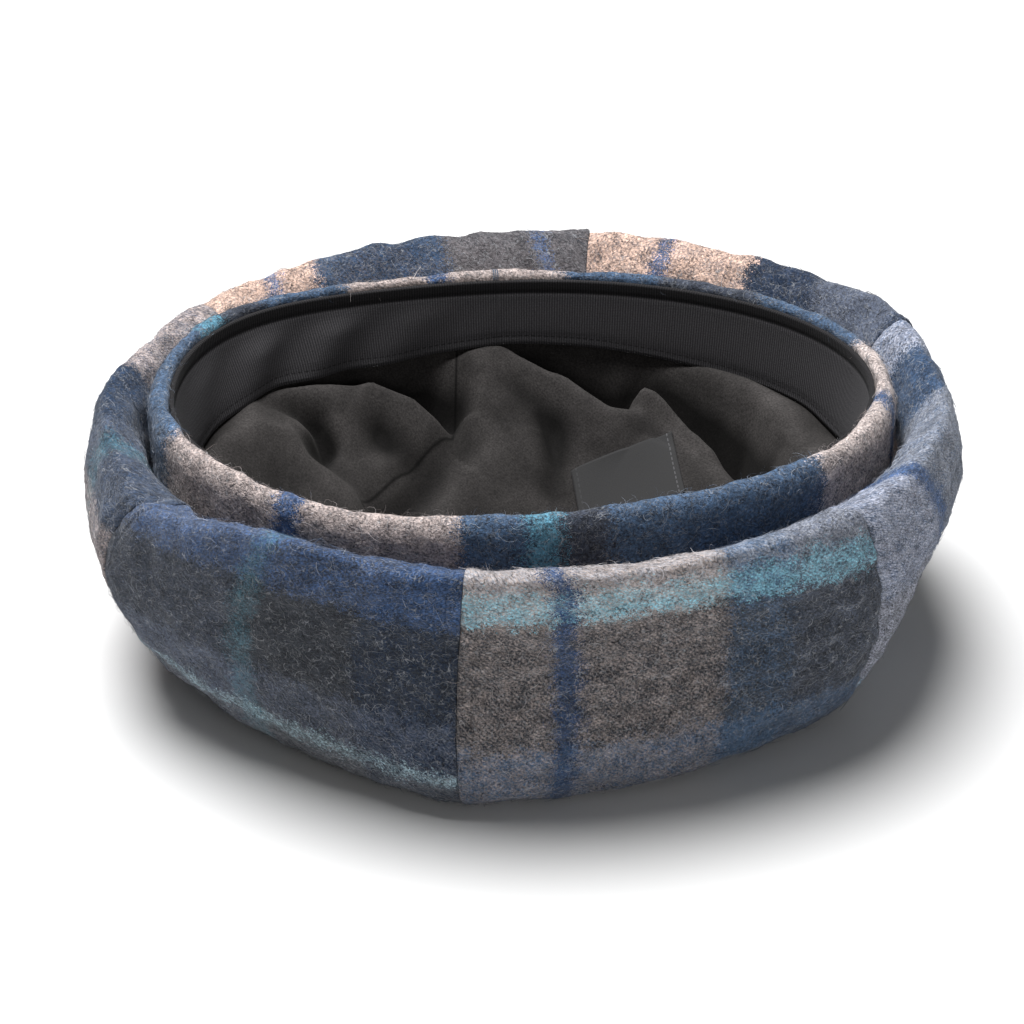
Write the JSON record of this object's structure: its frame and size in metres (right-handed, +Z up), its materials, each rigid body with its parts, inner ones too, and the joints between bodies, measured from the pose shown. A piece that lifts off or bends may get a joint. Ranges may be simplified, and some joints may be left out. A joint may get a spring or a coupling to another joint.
{
  "type": "flat cap",
  "caption": "Soft peakless flat cap of plaid wool, lying upside down: puffed wedge panels, folded headband, black sweatband, loose lining and bare label.",
  "frame": {"origin": "middle of the bounding box on the floor, under the crown that the cap lies on", "axes": "+Z up out of the head opening, +X along the opening's long axis, -Y towards the side that the picture shows"},
  "size_m": [0.2618, 0.2334, 0.0867],
  "materials": {
    "plaid_wool": "felted wool plaid in navy, charcoal, beige and teal, with a soft nap",
    "headband_wool": "the same felted wool plaid, folded double",
    "rib_knit": "black ribbed knit, matte",
    "cotton_twill": "black cotton twill, matte",
    "woven_label": "black woven label, slightly satin"
  },
  "bodies": {
    "root": {"crown_panel_1": "plaid_wool", "crown_panel_2": "plaid_wool", "crown_panel_3": "plaid_wool", "crown_panel_4": "plaid_wool", "crown_panel_5": "plaid_wool", "crown_panel_6": "plaid_wool", "headband": "headband_wool", "sweatband": "rib_knit", "lining": "cotton_twill", "label": "woven_label"}
  },
  "joints": []
}
